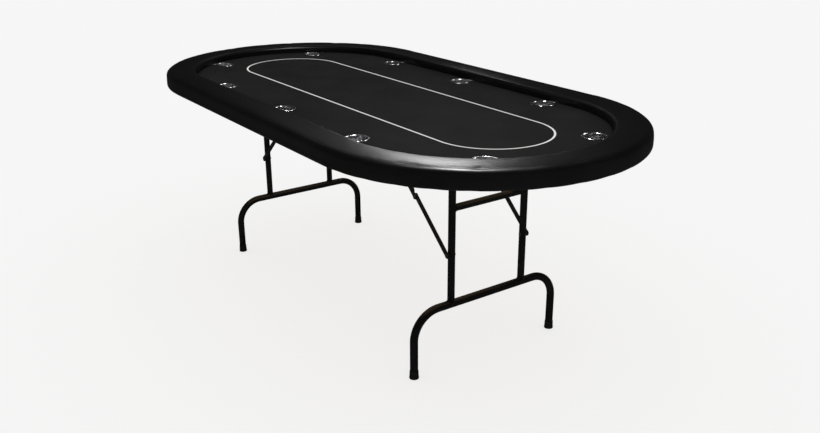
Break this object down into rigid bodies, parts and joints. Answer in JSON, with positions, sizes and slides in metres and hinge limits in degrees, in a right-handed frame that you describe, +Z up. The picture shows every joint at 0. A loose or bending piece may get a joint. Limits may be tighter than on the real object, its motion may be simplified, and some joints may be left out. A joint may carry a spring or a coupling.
{
  "type": "poker table",
  "caption": "Oval card table with a padded rail, recessed cloth, steel cup holders and two braced leg frames that fold flat under the top.",
  "frame": {"origin": "on the floor, under the middle of the table", "axes": "+X along the table to the right-hand leg frame, +Y to the rear, +Z up"},
  "size_m": [2.1338, 1.067, 0.768],
  "materials": {
    "plywood": "sanded birch plywood",
    "fibreboard": "plain fibreboard",
    "foam": "closed-cell upholstery foam",
    "playing_cloth": "matt black woven cloth with a printed white line",
    "rail_vinyl": "black upholstery vinyl with a soft sheen",
    "fastener_steel": "dark zinc-plated",
    "stainless_steel": "polished stainless",
    "bracket_steel": "black powder coat",
    "black_tube": "semi-gloss black powder coat",
    "black_link": "satin black powder coat",
    "foot_rubber": "matt black rubber",
    "cap_plastic": "black polythene"
  },
  "bodies": {
    "table_top": {"base_board": "plywood", "base_edge_boards": "plywood", "playfield_board": "fibreboard", "playfield_foam": "foam", "playfield_foam_strips": "foam", "playfield_cloth": "playing_cloth", "rail_ring": "plywood", "rail_foam": "foam", "rail_cover": "rail_vinyl", "rail_bolts": "fastener_steel", "cup_holder_01": "stainless_steel", "cup_holder_02": "stainless_steel", "cup_holder_03": "stainless_steel", "cup_holder_04": "stainless_steel", "cup_holder_05": "stainless_steel", "cup_holder_06": "stainless_steel", "cup_holder_07": "stainless_steel", "cup_holder_08": "stainless_steel", "cup_holder_09": "stainless_steel", "cup_holder_10": "stainless_steel", "pivot_bracket_right_front": "bracket_steel", "pivot_bracket_right_rear": "bracket_steel", "pivot_bracket_left_front": "bracket_steel", "pivot_bracket_left_rear": "bracket_steel", "pivot_bracket_screws": "fastener_steel", "brace_bracket_right_front": "bracket_steel", "brace_bracket_right_rear": "bracket_steel", "brace_bracket_left_front": "bracket_steel", "brace_bracket_left_rear": "bracket_steel", "brace_bracket_screws": "fastener_steel", "brace_bracket_rivets": "fastener_steel"},
    "right_leg_frame": {"right_pivot_tube": "black_tube", "right_post_front": "black_tube", "right_post_rear": "black_tube", "right_crossbar": "black_tube", "right_foot_tube": "black_tube", "right_foot_caps": "foot_rubber", "right_pivot_end_caps": "cap_plastic", "right_brace_rivets": "fastener_steel"},
    "left_leg_frame": {"left_pivot_tube": "black_tube", "left_post_front": "black_tube", "left_post_rear": "black_tube", "left_crossbar": "black_tube", "left_foot_tube": "black_tube", "left_foot_caps": "foot_rubber", "left_pivot_end_caps": "cap_plastic", "left_brace_rivets": "fastener_steel"},
    "upper_link_right_front_body": {"upper_link_right_front": "black_link", "elbow_rivet_right_front": "fastener_steel"},
    "lower_link_right_front_body": {"lower_link_right_front": "black_link"},
    "upper_link_right_rear_body": {"upper_link_right_rear": "black_link", "elbow_rivet_right_rear": "fastener_steel"},
    "lower_link_right_rear_body": {"lower_link_right_rear": "black_link"},
    "upper_link_left_front_body": {"upper_link_left_front": "black_link", "elbow_rivet_left_front": "fastener_steel"},
    "lower_link_left_front_body": {"lower_link_left_front": "black_link"},
    "upper_link_left_rear_body": {"upper_link_left_rear": "black_link", "elbow_rivet_left_rear": "fastener_steel"},
    "lower_link_left_rear_body": {"lower_link_left_rear": "black_link"}
  },
  "joints": [
    {"name": "right_leg_fold", "type": "hinge", "parent": "table_top", "child": "right_leg_frame", "pos_m": [0.62, 0, 0.691], "axis": [0, 1, 0], "range_deg": [0, 90]},
    {"name": "left_leg_fold", "type": "hinge", "parent": "table_top", "child": "left_leg_frame", "pos_m": [-0.62, 0, 0.691], "axis": [0, -1, 0], "range_deg": [0, 86.5]},
    {"name": "upper_link_right_front_swing", "type": "hinge", "parent": "table_top", "child": "upper_link_right_front_body", "pos_m": [0.28, -0.166, 0.691], "axis": [0, 1, 0], "range_deg": [-42.5, 0]},
    {"name": "lower_link_right_front_swing", "type": "hinge", "parent": "right_leg_frame", "child": "lower_link_right_front_body", "pos_m": [0.62, -0.1605, 0.38], "axis": [0, 1, 0], "range_deg": [0, 47.6]},
    {"name": "upper_link_right_rear_swing", "type": "hinge", "parent": "table_top", "child": "upper_link_right_rear_body", "pos_m": [0.28, 0.166, 0.691], "axis": [0, 1, 0], "range_deg": [-42.5, 0]},
    {"name": "lower_link_right_rear_swing", "type": "hinge", "parent": "right_leg_frame", "child": "lower_link_right_rear_body", "pos_m": [0.62, 0.1605, 0.38], "axis": [0, 1, 0], "range_deg": [0, 47.6]},
    {"name": "upper_link_left_front_swing", "type": "hinge", "parent": "table_top", "child": "upper_link_left_front_body", "pos_m": [-0.28, -0.166, 0.691], "axis": [0, -1, 0], "range_deg": [-41.81, 0]},
    {"name": "lower_link_left_front_swing", "type": "hinge", "parent": "left_leg_frame", "child": "lower_link_left_front_body", "pos_m": [-0.62, -0.1605, 0.38], "axis": [0, -1, 0], "range_deg": [0, 46.84]},
    {"name": "upper_link_left_rear_swing", "type": "hinge", "parent": "table_top", "child": "upper_link_left_rear_body", "pos_m": [-0.28, 0.166, 0.691], "axis": [0, -1, 0], "range_deg": [-41.81, 0]},
    {"name": "lower_link_left_rear_swing", "type": "hinge", "parent": "left_leg_frame", "child": "lower_link_left_rear_body", "pos_m": [-0.62, 0.1605, 0.38], "axis": [0, -1, 0], "range_deg": [0, 46.84]}
  ],
  "couplings": [
    {"joint": "upper_link_right_front_swing", "follows": "right_leg_fold", "ratio": -0.47166},
    {"joint": "lower_link_right_front_swing", "follows": "right_leg_fold", "ratio": 0.52834},
    {"joint": "upper_link_right_rear_swing", "follows": "right_leg_fold", "ratio": -0.47166},
    {"joint": "lower_link_right_rear_swing", "follows": "right_leg_fold", "ratio": 0.52834},
    {"joint": "upper_link_left_front_swing", "follows": "left_leg_fold", "ratio": -0.48281},
    {"joint": "lower_link_left_front_swing", "follows": "left_leg_fold", "ratio": 0.54088},
    {"joint": "upper_link_left_rear_swing", "follows": "left_leg_fold", "ratio": -0.48281},
    {"joint": "lower_link_left_rear_swing", "follows": "left_leg_fold", "ratio": 0.54088}
  ]
}
